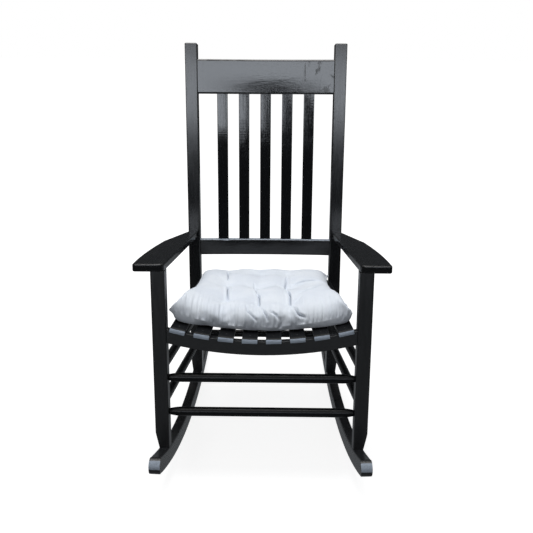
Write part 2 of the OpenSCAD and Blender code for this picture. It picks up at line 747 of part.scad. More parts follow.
module arm_screws() {
    color(steel) at_rest() for (s = sides)
        translate([s * arm_tail_x, post_front(screw_z) + post_w, screw_z]) rotate([90, 0, 0]) {
            translate([0, 0, 2]) cylinder(d = bolt_head_d, h = bolt_head_h, $fn = 32);
            translate([0, 0, 2]) cylinder(d = bolt_d, h = post_w + arm_screw_l - bolt_head_h - 4, $fn = 24);
        }
}

module seat_nails() {
    color(steel) at_rest() for (i = [1:seat_slats], y = [front_rail_y, rear_rail_y]) nail_spot(i, y) nail(0);
}

rocker(left);  // rocker_left
rocker(right);  // rocker_right
front_leg(left);  // front_leg_left
front_leg(right);  // front_leg_right
back_post(left);  // back_post_left
back_post(right);  // back_post_right
armrest(left);  // armrest_left
armrest(right);  // armrest_right
crest_rail();
lower_back_rail();
for (i = [1:back_slats]) back_slat(i);
front_seat_rail();
rear_seat_rail();
for (i = [1:seat_slats]) seat_slat(i);
front_rung(front_rung_high);  // front_rung_upper
front_rung(front_rung_low);  // front_rung_lower
rear_rung();
side_rung(left, side_rung_high);  // side_rung_upper_left
side_rung(right, side_rung_high);  // side_rung_upper_right
side_rung(left, side_rung_low);  // side_rung_lower_left
side_rung(right, side_rung_low);  // side_rung_lower_right
cushion();
rocker_bolts();
arm_dowels();
arm_screws();
seat_nails();
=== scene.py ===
import json
import math

import bpy
import numpy as np
from mathutils import Matrix, Vector
from mathutils.bvhtree import BVHTree
from mathutils.noise import noise as noise_at


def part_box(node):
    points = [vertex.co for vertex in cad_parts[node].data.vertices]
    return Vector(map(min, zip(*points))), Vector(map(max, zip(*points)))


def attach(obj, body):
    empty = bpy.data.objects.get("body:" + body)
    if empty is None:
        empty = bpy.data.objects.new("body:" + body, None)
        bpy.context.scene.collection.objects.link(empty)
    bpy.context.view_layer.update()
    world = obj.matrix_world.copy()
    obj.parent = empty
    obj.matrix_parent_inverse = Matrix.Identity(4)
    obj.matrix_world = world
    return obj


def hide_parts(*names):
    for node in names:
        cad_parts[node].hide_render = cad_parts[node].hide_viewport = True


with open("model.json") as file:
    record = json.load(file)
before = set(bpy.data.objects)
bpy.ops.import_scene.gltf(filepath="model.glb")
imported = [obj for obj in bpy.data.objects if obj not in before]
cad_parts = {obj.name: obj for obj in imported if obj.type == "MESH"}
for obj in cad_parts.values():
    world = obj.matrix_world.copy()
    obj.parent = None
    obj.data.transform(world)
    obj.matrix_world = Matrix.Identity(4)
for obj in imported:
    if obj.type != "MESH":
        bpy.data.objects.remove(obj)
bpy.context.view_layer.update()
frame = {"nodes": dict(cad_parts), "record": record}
nodes = frame["nodes"]


# Camera
# It stands in front of the chair, a little to its right and above the arms, and looks down at
# the seat. The long side of the photograph and its focal length are in pixels.
photo_width = 533
focal_length = 640
sensor_width = 36
camera_place = Vector((0.0290, -1.7681, 1.2643))
camera_yaw = math.radians(-0.65)
camera_pitch = math.radians(22.45)
camera_roll = math.radians(-0.24)

camera_data = bpy.data.cameras.new("photo_camera")
camera_data.sensor_width = sensor_width
camera_data.lens = focal_length / photo_width * sensor_width
camera = bpy.data.objects.new("photo_camera", camera_data)
camera_turn = (
    Matrix.Rotation(-camera_yaw, 4, "Z")
    @ Matrix.Rotation(math.pi / 2 - camera_pitch, 4, "X")
    @ Matrix.Rotation(-camera_roll, 4, "Z")
)
camera.matrix_world = Matrix.Translation(camera_place) @ camera_turn
bpy.context.scene.collection.objects.link(camera)
bpy.context.scene.camera = camera
bpy.context.scene.view_settings.view_transform = "Standard"


# Studio
# A white room: a pale floor that keeps the chair's shadow, a wide window of light in front above
# eye level, a soft lamp overhead, and a weak one in front on the left that fills the cushion's
# shaded side. White is what the camera and mirror-like surfaces see.
def new_tree(owner):
    owner.use_nodes = True
    owner.node_tree.nodes.clear()
    return owner.node_tree


def new_material(name):
    material = bpy.data.materials.new(name)
    return material, new_tree(material)


def add_node(tree, kind, fed=(), **settings):
    """Adds a node with its own settings, and feeds its inputs with values or with other sockets."""
    made = tree.nodes.new(kind)
    for name, value in settings.items():
        setattr(made, name, value)
    for slot, value in dict(fed).items():
        if isinstance(value, bpy.types.NodeSocket):
            tree.links.new(value, made.inputs[slot])
        else:
            made.inputs[slot].default_value = value
    return made


def math_node(tree, operation, *values, clamp=False):
    made = add_node(tree, "ShaderNodeMath", enumerate(values), operation=operation, use_clamp=clamp)
    return made.outputs[0]


def ramp(tree, value, low, high, to_low=0.0, to_high=1.0):
    """Rises smoothly from to_low to to_high while the value goes from low to high."""
    fed = {"Value": value, "From Min": low, "From Max": high, "To Min": to_low, "To Max": to_high}
    return add_node(tree, "ShaderNodeMapRange", fed, interpolation_type="SMOOTHSTEP").outputs["Result"]


def object_place(tree):
    return add_node(tree, "ShaderNodeTexCoord").outputs["Object"]


def for_direct_rays(tree, other, direct):
    """Camera, glossy and transmission rays meet the second shader, and all others the first."""
    rays = add_node(tree, "ShaderNodeLightPath").outputs
    seen = math_node(tree, "MAXIMUM", rays["Is Camera Ray"], rays["Is Glossy Ray"])
    seen = math_node(tree, "MAXIMUM", seen, rays["Is Transmission Ray"])
    fed = {0: seen, 1: other.outputs[0], 2: direct.outputs[0]}
    return add_node(tree, "ShaderNodeMixShader", fed).outputs[0]


def new_piece(name, points, faces):
    mesh = bpy.data.meshes.new(name)
    mesh.from_pydata(points, [], faces)
    piece = bpy.data.objects.new(name, mesh)
    bpy.context.scene.collection.objects.link(piece)
    return piece


ambient_light = 0.155
world = bpy.data.worlds.new("white_room")
bpy.context.scene.world = world
tree = new_tree(world)
ambient = add_node(tree, "ShaderNodeBackground", {"Color": (0.93, 0.96, 1.0, 1), "Strength": ambient_light})
white = add_node(tree, "ShaderNodeBackground", {"Color": (1, 1, 1, 1)})
add_node(tree, "ShaderNodeOutputWorld", {"Surface": for_direct_rays(tree, ambient, white)})

# The floor glows almost white by itself, and fully so a little way off, under the shadow it keeps
floor_reach = 14.0
floor_drop = 0.0004
floor_glow = 0.88
floor_far_glow = 1.0
glow_starts_to_rise = 0.7
glow_is_full = 2.4
floor_shadow_share = 0.40
floor_bounce = 0.46
floor = new_piece(
    "floor",
    [(x * floor_reach, y * floor_reach, -floor_drop) for x, y in ((-1, -1), (1, -1), (1, 1), (-1, 1))],
    [(0, 1, 2, 3)],
)
floor_paint, tree = new_material("floor")
bounce = add_node(tree, "ShaderNodeBsdfDiffuse", {"Color": (floor_bounce,) * 3 + (1,)})
shadow_catch = add_node(tree, "ShaderNodeBsdfDiffuse", {"Color": (floor_shadow_share,) * 3 + (1,)})
off_middle = add_node(tree, "ShaderNodeVectorMath", {0: object_place(tree)}, operation="LENGTH")
glow_level = ramp(
    tree, off_middle.outputs["Value"], glow_starts_to_rise, glow_is_full, floor_glow, floor_far_glow
)
glow = add_node(tree, "ShaderNodeEmission", {"Strength": glow_level})
shown = add_node(tree, "ShaderNodeAddShader", {0: shadow_catch.outputs[0], 1: glow.outputs[0]})
add_node(tree, "ShaderNodeOutputMaterial", {"Surface": for_direct_rays(tree, bounce, shown)})
floor.data.materials.append(floor_paint)


def soft_lamp(name, place, aim, size, power, colour):
    lamp_data = bpy.data.lights.new(name, "AREA")
    lamp_data.shape = "RECTANGLE"
    lamp_data.size, lamp_data.size_y = size
    lamp_data.energy = power
    lamp_data.color = colour
    lamp = bpy.data.objects.new(name, lamp_data)
    lamp.location = place
    lamp.rotation_euler = (Vector(aim) - Vector(place)).to_track_quat("-Z", "Y").to_euler()
    bpy.context.scene.collection.objects.link(lamp)
    return lamp


window_low_edge = 1.42
window_size = (4.4, 0.70)
window_place = (0, -3.3, window_low_edge + window_size[1] / 2)
window_aim = (0, 0, window_place[2])
window = soft_lamp("window", window_place, window_aim, window_size, power=50, colour=(0.83, 0.90, 1.0))
window.visible_diffuse = False
soft_lamp(
    "overhead",
    place=(-0.1, 0.25, 3.1),
    aim=(0, 0.15, 0.5),
    size=(1.7, 1.7),
    power=73,
    colour=(1.0, 0.99, 0.98),
)
soft_lamp(
    "fill",
    place=(-1.6, -2.9, 1.9),
    aim=(0, 0, 0.6),
    size=(1.2, 1.2),
    power=11,
    colour=(1.0, 1.0, 1.0),
)


# Gloss black shows whatever stands around it, so a dark screen rings the chair, as black cards do
# in a studio: low in front, where the window shows over it, and higher behind. A small dark card
# near the camera is what the middle of the back mirrors. Only reflections see any of it.
def reflected_only(name, points, faces, strength):
    card = new_piece(name, points, faces)
    paint, tree = new_material(name)
    dim = add_node(tree, "ShaderNodeEmission", {"Color": (0.9, 0.95, 1.0, 1), "Strength": strength})
    add_node(tree, "ShaderNodeOutputMaterial", {"Surface": dim.outputs[0]})
    card.data.materials.append(paint)
    card.visible_camera = False
    card.visible_diffuse = False
    card.visible_shadow = False
    card.visible_transmission = False


screen_radius = 3.2
screen_rear_height = 3.1
screen_sides = 48
screen_strength = 0.050
dark_floor_strength = 0.26
low_points = []
high_points = []
for side in range(screen_sides):
    angle = 2 * math.pi * side / screen_sides
    x, y = screen_radius * math.cos(angle), screen_radius * math.sin(angle)
    rear_share = max(0, math.sin(angle))
    low_points.append((x, y, 0.0))
    high_points.append((x, y, window_low_edge + (screen_rear_height - window_low_edge) * rear_share))
walls = [
    (side, (side + 1) % screen_sides, screen_sides + (side + 1) % screen_sides, screen_sides + side)
    for side in range(screen_sides)
]
reflected_only("dark_screen", low_points + high_points, walls, screen_strength)
reflected_only("dark_floor", low_points, [tuple(range(screen_sides))], dark_floor_strength)

card_place = (-0.030, -1.93, 1.42)
card_outline = [
    (-0.014, -0.20), (0.300, -0.20), (0.300, -0.01), (0.140, 0.00), (0.060, 0.02), (0.048, 0.06),
    (0.040, 0.10), (0.022, 0.14), (-0.018, 0.14), (-0.034, 0.10), (-0.034, 0.06), (-0.014, 0.045),
]
card_points = [(card_place[0] + x, card_place[1], card_place[2] + z) for x, z in card_outline]
reflected_only("dark_card", card_points, [tuple(range(len(card_points)))], screen_strength)


# Rockers
# Two curved boards with round tips, each bolted up into two feet. The chair rolls on their edges.
# Like the whole frame, they are hardwood under gloss black enamel, which is laid on with a brush
# along the grain, thins on the arrises and holds a little dust where it faces up.
def new_group(name, inputs, outputs):
    group = bpy.data.node_groups.new(name, "ShaderNodeTree")
    for label, kind, value in inputs:
        socket = group.interface.new_socket(name=label, in_out="INPUT", socket_type=kind)
        if value is not None:
            socket.default_value = value
    for label, kind in outputs:
        group.interface.new_socket(name=label, in_out="OUTPUT", socket_type=kind)
    given = add_node(group, "NodeGroupInput").outputs
    told = add_node(group, "NodeGroupOutput").inputs
    return group, given, told


def stretched(tree, vector, factors):
    return add_node(tree, "ShaderNodeVectorMath", {0: vector, 1: factors}, operation="MULTIPLY").outputs[0]


def axes_of(tree, vector):
    return add_node(tree, "ShaderNodeSeparateXYZ", {0: vector}).outputs


def surface_normal(tree):
    return add_node(tree, "ShaderNodeNewGeometry").outputs["Normal"]


def noise(tree, vector, scale, detail, roughness):
    fed = {"Vector": vector, "Scale": scale, "Detail": detail, "Roughness": roughness}
    return add_node(tree, "ShaderNodeTexNoise", fed).outputs["Fac"]


# Brush marks run along z of the vector that the group is given, so many across and along a metre
hairs_per_metre = (900, 900, 16)
strokes_per_metre = (230, 230, 7)
waves_per_metre = (34, 34, 11)
pores_per_metre = (2400, 2400, 90)
hair_height = 0.12
stroke_height = 0.60
wave_height = 0.9
pore_height = -0.25
brush_group, given, told = new_group(
    "Brush marks",
    [("Vector", "NodeSocketVector", None), ("Ripple", "NodeSocketFloat", 0.0)],
    [("Height", "NodeSocketFloat"), ("Streaks", "NodeSocketFloat")],
)
tree = brush_group
hairs = noise(tree, stretched(tree, given["Vector"], hairs_per_metre), 1.0, 5.0, 0.6)
strokes = noise(tree, stretched(tree, given["Vector"], strokes_per_metre), 1.0, 3.0, 0.55)
waves = noise(tree, stretched(tree, given["Vector"], waves_per_metre), 1.0, 2.0, 0.5)
pores = noise(tree, stretched(tree, given["Vector"], pores_per_metre), 1.0, 2.0, 0.5)
height = math_node(tree, "MULTIPLY", strokes, stroke_height)
height = math_node(tree, "MULTIPLY_ADD", hairs, hair_height, height)
height = math_node(tree, "MULTIPLY_ADD", waves, wave_height, height)
height = math_node(tree, "MULTIPLY_ADD", ramp(tree, pores, 0.62, 0.74), pore_height, height)

# The planer's knives left ripples across the grain, here and there, about 5 mm apart
knife_pitch = 0.0050
uneven_feed = noise(tree, stretched(tree, given["Vector"], (9, 9, 60)), 1.0, 2.0, 0.5)
knife_turn = math_node(tree, "MULTIPLY", axes_of(tree, given["Vector"])["Z"], 2 * math.pi / knife_pitch)
knife_marks = math_node(tree, "SINE", math_node(tree, "MULTIPLY_ADD", uneven_feed, 9.0, knife_turn))
marked_here = ramp(tree, noise(tree, given["Vector"], 22.0, 2.0, 0.5), 0.40, 0.62)
knife_marks = math_node(tree, "MULTIPLY", knife_marks, marked_here)
knife_marks = math_node(tree, "MULTIPLY", knife_marks, given["Ripple"])
tree.links.new(math_node(tree, "ADD", height, knife_marks), told["Height"])
tree.links.new(hairs, told["Streaks"])

# The arris mask compares the true surface with one whose edges are rounded by Radius
arris_group, given, told = new_group(
    "Worn arrises",
    [("Radius", "NodeSocketFloat", 0.0015), ("Vector", "NodeSocketVector", None)],
    [("Mask", "NodeSocketFloat"), ("Soft Normal", "NodeSocketVector")],
)
tree = arris_group
rounded = add_node(tree, "ShaderNodeBevel", {"Radius": given["Radius"]}, samples=6).outputs["Normal"]
normals = {0: rounded, 1: surface_normal(tree)}
agreement = add_node(tree, "ShaderNodeVectorMath", normals, operation="DOT_PRODUCT")
near_edge = ramp(tree, agreement.outputs["Value"], 0.995, 0.80)
patches = ramp(tree, noise(tree, given["Vector"], 38.0, 4.0, 0.6), 0.50, 0.68)
tree.links.new(math_node(tree, "MULTIPLY", near_edge, patches, clamp=True), told["Mask"])
tree.links.new(rounded, told["Soft Normal"])

# Dust lies on what faces up, thicker in patches
dust_group, given, told = new_group(
    "Settled dust", [("Vector", "NodeSocketVector", None)], [("Mask", "NodeSocketFloat")]
)
tree = dust_group
facing_up = ramp(tree, axes_of(tree, surface_normal(tree))["Z"], 0.55, 0.98)
cloudy = ramp(tree, noise(tree, given["Vector"], 26.0, 5.0, 0.62), 0.42, 0.75)
tree.links.new(math_node(tree, "MULTIPLY", facing_up, cloudy), told["Mask"])

# The chair leans back at rest, so its grain directions are turned by that lean
arm_top_axis = frame["record"]["mounts"][0]["axis"]
lean = math.atan2(arm_top_axis[1], arm_top_axis[2])
grain_turns = {
    "up": (-lean, 0, 0),
    "across": (-lean, math.pi / 2, 0),
    "back": (math.pi / 2 - lean, 0, 0),
}
paint_black = (0.0040, 0.0044, 0.0052, 1)
paint_thin = (0.0075, 0.0082, 0.0095, 1)
dust_grey = (0.16, 0.17, 0.18, 1)
bare_arris = (0.075, 0.070, 0.066, 1)
# This blue-grey stands partly for worn paint and partly for a painted reflection of the light in front and
# above
wear_and_sheen_grey = (0.33, 0.385, 0.46, 1)
arris_radius = 0.0016
dust_share = 0.008
bare_arris_share = 0.55
streaks_roughen = 1.4
dust_roughens = 0.10
bare_arris_roughens = 0.25
damp_roughens = 0.30
wear_and_sheen_roughens = 0.35
brush_relief = 0.00025
enamel_ior = 1.5


def use_group(tree, group, **fed):
    return add_node(tree, "ShaderNodeGroup", fed, node_tree=group).outputs


def turned_by(tree, vector, turn):
    fed = {"Rotation": turn, "Vector": vector}
    return add_node(tree, "ShaderNodeMapping", fed, vector_type="TEXTURE").outputs["Vector"]


def mixed(tree, share, first, second):
    return add_node(tree, "ShaderNodeMix", {0: share, 6: first, 7: second}, data_type="RGBA").outputs[2]


def bumped(tree, height, strength, distance, **over):
    """The normal of a relief, which may lie over another Normal."""
    fed = {"Height": height, "Strength": strength, "Distance": distance, **over}
    return add_node(tree, "ShaderNodeBump", fed).outputs["Normal"]


def end_in(tree, fed):
    """Ends a material in a Principled shader with these inputs."""
    shader = add_node(tree, "ShaderNodeBsdfPrincipled", fed)
    add_node(tree, "ShaderNodeOutputMaterial", {"Surface": shader.outputs[0]})


def gloss_black(name, grain, roughness, shine=0.5, ripple=0.02, relief=0.55, wear_and_sheen=None, dulled=None):
    """Enamel over grain that runs up, across or back. dulled adds a mask of wear that roughens the paint,
    and the other mask paints blue-grey, partly for wear and partly as painted reflection.
    """
    paint, tree = new_material(name)
    place = object_place(tree)
    along = turned_by(tree, place, grain_turns[grain])
    brush = use_group(tree, brush_group, Vector=along, Ripple=ripple)
    arris = use_group(tree, arris_group, Radius=arris_radius, Vector=along)
    dust = use_group(tree, dust_group, Vector=place)["Mask"]
    colour = mixed(tree, ramp(tree, brush["Streaks"], 0.52, 0.74, 0.0, 0.5), paint_black, paint_thin)
    colour = mixed(tree, math_node(tree, "MULTIPLY", dust, dust_share), colour, dust_grey)
    colour = mixed(tree, math_node(tree, "MULTIPLY", arris["Mask"], bare_arris_share), colour, bare_arris)
    rough = ramp(tree, brush["Streaks"], 0.35, 0.75, roughness, roughness * streaks_roughen)
    rough = math_node(tree, "MULTIPLY_ADD", dust, dust_roughens, rough)
    rough = math_node(tree, "MULTIPLY_ADD", arris["Mask"], bare_arris_roughens, rough)
    if dulled:
        rough = math_node(tree, "MULTIPLY_ADD", dulled(tree, place), damp_roughens, rough)
    # Painted blue-grey: partly wear, partly a painted reflection of the light
    if wear_and_sheen:
        worn_and_lit = wear_and_sheen(tree, place)
        colour = mixed(tree, worn_and_lit, colour, wear_and_sheen_grey)
        rough = math_node(tree, "MULTIPLY_ADD", worn_and_lit, wear_and_sheen_roughens, rough)
    normal = bumped(tree, brush["Height"], relief, brush_relief, Normal=arris["Soft Normal"])
    end_in(tree, {
        "Base Color": colour,
        "Roughness": rough,
        "Normal": normal,
        "IOR": enamel_ior,
        "Specular IOR Level": shine,
    })
    return paint


def finish_with(material, *names):
    for name in names:
        mesh = nodes[name].data
        mesh.materials.clear()
        mesh.materials.append(material)


# The round tips are painted a dull blue-grey where they face up and forward, partly for where shoes have
# scuffed them and partly as a painted reflection of the light above
tip_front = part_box("rocker_left")[0].y
tip_reach = 0.040
tip_fade = 0.003


def tip_wear_and_sheen(tree, place):
    """The round tips of the rockers, where they face up and forward."""
    normal = axes_of(tree, surface_normal(tree))
    flakes = noise(tree, place, 150.0, 5.0, 0.65)
    patch_from = tip_front + tip_reach
    at_tip = ramp(tree, axes_of(tree, place)["Y"], patch_from, patch_from - tip_fade)
    upward = ramp(tree, math_node(tree, "MULTIPLY_ADD", flakes, 0.16, normal["Z"]), 0.14, 0.28)
    forward = ramp(tree, math_node(tree, "MULTIPLY_ADD", flakes, 0.10, normal["Y"]), -0.30, -0.40)
    mottled = ramp(tree, noise(tree, place, 300.0, 4.0, 0.6), 0.25, 0.60, 0.65, 1.0)
    at_tip = math_node(tree, "MULTIPLY", at_tip, forward)
    return math_node(tree, "MULTIPLY", math_node(tree, "MULTIPLY", at_tip, upward), mottled)


rocker_paint = gloss_black("rocker_paint", grain="back", roughness=0.26, shine=0.4, wear_and_sheen=tip_wear_and_sheen)
finish_with(rocker_paint, "rocker_left", "rocker_right")


# Legs and posts
# Square hardwood stock, painted along its length. The front legs run from the rockers up to the
# arms, which are dowelled on, and each back post is one piece from its rocker to the top. Rungs
# and rails are let into them.
leg_paint = gloss_black("leg_paint", grain="up", roughness=0.30)
finish_with(leg_paint, "front_leg_left", "front_leg_right")
post_paint = gloss_black("post_paint", grain="up", roughness=0.165)
finish_with(post_paint, "back_post_left", "back_post_right")


# Back
# A broad bowed crest rail and a narrower lower rail, tenoned into the posts, with five flat slats
# let into both. All are hardwood. Damp has marked the paint on the crest, and a painted
# reflection of the light above lightens the top of the lower rail.
drip_place = 0.126
drip_width = 0.003
blotches_from = 0.110
blotches_full = 0.150


def leaned_axes(tree, vector):
    """Splits a vector into x, y and z as the chair stands when it isn't leaning."""
    return axes_of(tree, turned_by(tree, vector, (-lean, 0, 0)))


def dull_patches(tree, place):
    """Dull blotches and one fine drip toward the right end of the crest, where damp got at it."""
    x = axes_of(tree, place)["X"]
    blotches = noise(tree, stretched(tree, place, (1.0, 1.0, 0.7)), 48.0, 4.0, 0.6)
    blotches = ramp(tree, blotches, 0.50, 0.66)
    to_right = ramp(tree, x, blotches_from, blotches_full, 0.0, 0.8)
    off_drip = math_node(tree, "ABSOLUTE", math_node(tree, "SUBTRACT", x, drip_place))
    drip = ramp(tree, off_drip, drip_width, 0.0)
    broken = ramp(tree, noise(tree, stretched(tree, place, (1, 1, 40)), 1.0, 3.0, 0.6), 0.42, 0.60)
    blotches = math_node(tree, "MULTIPLY", blotches, to_right)
    return math_node(tree, "MAXIMUM", blotches, math_node(tree, "MULTIPLY", drip, broken))


def rail_top_painted_sheen(tree, place):
    """The upper edge of the lower rail, where it faces up: a painted reflection of the light above."""
    upward = leaned_axes(tree, surface_normal(tree))["Z"]
    flakes = noise(tree, stretched(tree, place, (20, 90, 90)), 1.0, 4.0, 0.6)
    return ramp(tree, math_node(tree, "MULTIPLY_ADD", flakes, 0.3, upward), 0.45, 0.75, 0.0, 0.75)


crest_paint = gloss_black(
    "crest_paint", grain="across", roughness=0.05, ripple=0.0, relief=0.30, dulled=dull_patches
)
finish_with(crest_paint, "crest_rail")
lower_rail_paint = gloss_black(
    "lower_rail_paint", grain="across", roughness=0.10, shine=0.4, wear_and_sheen=rail_top_painted_sheen
)
finish_with(lower_rail_paint, "lower_back_rail")
back_slat_paint = gloss_black("back_slat_paint", grain="up", roughness=0.06, ripple=0.20, relief=0.25)
finish_with(back_slat_paint, *[f"back_slat_{i}" for i in range(1, 6)])


# Arms
# Broad paddles with a narrow neck, each sawn from one hardwood board, its grain from front to
# back. They sit on a dowel in the front leg, and a screw through the post holds their tail.
arm_paint = gloss_black("arm_paint", grain="back", roughness=0.20, shine=0.3)
finish_with(arm_paint, "armrest_left", "armrest_right")


# Seat
# Two scooped hardwood rails between the legs and between the posts carry eight slats with round
# noses, nailed down and painted over. The noses are painted a dull blue-grey above a ragged lower
# edge, partly for paint that the end grain drank and legs rubbed, partly as a painted reflection.
upright = Matrix.Rotation(lean, 3, "X")
slat_points = np.array([upright @ v.co for v in nodes["seat_slat_4"].data.vertices])
nose_front, nose_bottom = slat_points.min(0)[1:]
nose_depth = 0.012
nose_fade = 0.001
black_foot = 0.0045
grey_from = 0.0058
ragged_height = 0.016
scoop_curve = 0.5


def nose_wear_and_sheen(tree, place):
    """The round end of each slat, down to a ragged line a little above its lower edge."""
    x, y, z = leaned_axes(tree, place)
    facing = leaned_axes(tree, surface_normal(tree))["Y"]
    flakes = noise(tree, place, 260.0, 4.0, 0.65)
    patch_from = nose_front + nose_depth
    at_nose = ramp(tree, y, patch_from, patch_from - nose_fade)
    rise = math_node(tree, "MULTIPLY_ADD", math_node(tree, "MULTIPLY", x, x), -scoop_curve, z)
    rise = math_node(tree, "MULTIPLY_ADD", flakes, ragged_height, rise)
    above_foot = ramp(tree, rise, nose_bottom + black_foot, nose_bottom + grey_from)
    forward = ramp(tree, math_node(tree, "MULTIPLY_ADD", flakes, 0.12, facing), -0.60, -0.70)
    lines = noise(tree, stretched(tree, place, (60, 60, 900)), 1.0, 2.0, 0.5)
    lines = ramp(tree, lines, 0.30, 0.60, 0.62, 1.0)
    # Painted blue-grey on the noses: partly wear, partly a painted reflection of the light in front
    worn_and_lit = math_node(tree, "MULTIPLY", at_nose, forward)
    return math_node(tree, "MULTIPLY", math_node(tree, "MULTIPLY", worn_and_lit, above_foot), lines)


seat_rail_paint = gloss_black("seat_rail_paint", grain="across", roughness=0.30, shine=0.6)
finish_with(seat_rail_paint, "front_seat_rail", "rear_seat_rail")
seat_slat_paint = gloss_black(
    "seat_slat_paint", grain="back", roughness=0.34, shine=0.08, wear_and_sheen=nose_wear_and_sheen
)
finish_with(seat_slat_paint, *[f"seat_slat_{i}" for i in range(1, 9)])


# Rungs
# Hardwood dowels, turned so that they swell from their ends, and glued into the legs and posts.
# The paint lies thin over the turning marks.
cross_rung_paint = gloss_black("front_rung_paint", grain="across", roughness=0.24, shine=0.15)
finish_with(cross_rung_paint, "front_rung_upper", "front_rung_lower", "rear_rung")
side_rung_paint = gloss_black("side_rung_paint", grain="back", roughness=0.24, shine=0.2)
for level in ("upper", "lower"):
    finish_with(side_rung_paint, f"side_rung_{level}_left", f"side_rung_{level}_right")


# Fasteners
# Zinc-plated steel bolts in the rockers, screws in the posts and nails in the seat, all dull with
# age, and plain beech dowels inside the joints of the arms.
zinc_clean = (0.33, 0.34, 0.36, 1)
zinc_stained = (0.14, 0.13, 0.12, 1)
zinc, tree = new_material("dull_zinc")
stains = ramp(tree, noise(tree, object_place(tree), 420.0, 5.0, 0.6), 0.40, 0.66)
end_in(tree, {
    "Metallic": 1.0,
    "Base Color": mixed(tree, stains, zinc_clean, zinc_stained),
    "Roughness": ramp(tree, stains, 0.0, 1.0, 0.38, 0.62),
})
finish_with(zinc, "rocker_bolts", "arm_screws", "seat_nails")

beech_dark = (0.52, 0.35, 0.19, 1)
beech_light = (0.66, 0.48, 0.30, 1)
fibres_per_metre = (700, 700, 40)
beech, tree = new_material("beech_dowel")
fibres = noise(tree, stretched(tree, object_place(tree), fibres_per_metre), 1.0, 4.0, 0.6)
end_in(tree, {"Roughness": 0.6, "Base Color": mixed(tree, fibres, beech_dark, beech_light)})
finish_with(beech, "arm_dowels")


# Cushion
# A loose cotton cushion: two panels, filled, closed by a seam round the rim, and sewn through in
# three rows of three tufts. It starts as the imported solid, and cloth under pressure gives it its
# swell between the tufts; the gathers, creases and the folded corner are shaped after that.
cells_across = 96
cells_deep = 88
start_share = 0.97
side_draw = 0.012
rear_band = 0.004
tuft_columns = (-0.105, -0.015, 0.075)
tuft_rows = (-0.143, 0.002, 0.147)
column_shift = -0.015
left_stagger = 0.020
stagger_width = 0.04
slit_half_width = 0.0045
slit_half_length = 0.015
slit_depth = 0.007

cad_cushion = nodes["cushion"]
cad_points = np.array([upright @ v.co for v in cad_cushion.data.vertices])
low, high = cad_points.min(0), cad_points.max(0)
cushion_middle = np.array([0.0, (low[1] + high[1]) / 2, low[2]])
cad_points = cad_points - cushion_middle
half_front = (high[0] - low[0]) / 2
half_depth = (high[1] - low[1]) / 2
half_rear = cad_points[cad_points[:, 1] > half_depth - rear_band][:, 0].max()
cad_tree = BVHTree.FromPolygons(
    [Vector(p) for p in cad_points], [tuple(p.vertices) for p in cad_cushion.data.polygons]
)
well_clear = 0.4
even_share = 0.3
eased_share = 0.7


def cad_height(x, y, from_above):
    """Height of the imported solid's top or underside at a place in the cushion's own frame."""
    start, way = (well_clear, -1) if from_above else (-well_clear, 1)
    return cad_tree.ray_cast(Vector((x, y, start)), Vector((0, 0, way)))[0].z


def eased(steps):
    """Grid positions from -1 to 1 that lie closer together toward both ends, where the rim turns."""
    even = np.linspace(-1, 1, steps)
    return even_share * even + eased_share * np.sin(math.pi / 2 * even)


def panel_place(u, v):
    """Place on the cushion's outline grid: u runs across and v from front to back, -1 to 1."""
    half = (half_front * (1 - v) + half_rear * (1 + v)) / 2
    x = u * (half - side_draw * (1 - v * v))
    return x, v * (half_depth - side_draw / 2 * (1 - u * u))


# The scoop of the seat under the cushion, fitted to the middle of the solid's underside
probe_half_width = 0.15
probe_half_depth = 0.14
probes = np.array([
    (x, y, cad_height(x, y, False))
    for x in np.linspace(-probe_half_width, probe_half_width, 9)
    for y in np.linspace(-probe_half_depth, probe_half_depth, 7)
])
probe_x, probe_y, probe_z = probes.T
terms = np.stack([np.ones(len(probes)), probe_x ** 2, probe_x ** 2 * probe_y, probe_y], 1)
scoop = np.linalg.lstsq(terms, probe_z, rcond=None)[0]


def seat_height(x, y):
    return scoop[0] + scoop[1] * x ** 2 + scoop[2] * x ** 2 * y + scoop[3] * y


# Heights are read a little inside the outline, so that none misses the solid
read_inside = 0.992
columns, rows = cells_across + 1, cells_deep + 1
top = np.zeros((rows, columns, 3))
under = np.zeros((rows, columns, 3))
for j, v in enumerate(eased(rows)):
    for i, u in enumerate(eased(columns)):
        x, y = panel_place(u, v)
        off_left_tufts = (x - tuft_columns[0]) / stagger_width
        spot_x = read_inside * x - column_shift * (1 - u ** 4)
        spot_y = read_inside * y - left_stagger * math.exp(-(off_left_tufts ** 2)) * (1 - v ** 4)
        over, below = cad_height(spot_x, spot_y, True), cad_height(spot_x, spot_y, False)
        if abs(u) == 1 or abs(v) == 1:
            over = below = (over + below) / 2
        top[j, i] = x, y, over
        under[j, i] = x, y, below


def joined(top, under):
    """Mesh points and faces of two panels that share their rim."""
    deep, wide = top.shape[:2]
    inside = np.zeros((deep, wide), bool)
    inside[1:-1, 1:-1] = True
    top_number = np.arange(deep * wide).reshape(deep, wide)
    under_number = top_number.copy()
    under_number[inside] = deep * wide + np.arange(inside.sum())
    points = np.concatenate([top.reshape(-1, 3), under[inside]])
    squares = []
    for number, turn in ((top_number, 1), (under_number, -1)):
        corners = (number[:-1, :-1], number[:-1, 1:], number[1:, 1:], number[1:, :-1])
        squares.append(np.stack(corners, -1).reshape(-1, 4)[:, ::turn])
    return points, np.concatenate(squares), top_number, under_number


tuft_spots = [
    (x, y + (left_stagger if column == 0 else 0))
    for column, x in enumerate(tuft_columns)
    for y in tuft_rows
]
stitched = np.zeros((rows, columns), bool)
for x, y in tuft_spots:
    along = (top[..., 1] - y) / slit_half_length
    slit = (np.abs(top[..., 0] - x) < slit_half_width) & (np.abs(along) < 1)
    stitched |= slit
    top[..., 2] -= np.where(slit, slit_depth * (1 - along ** 2), 0)

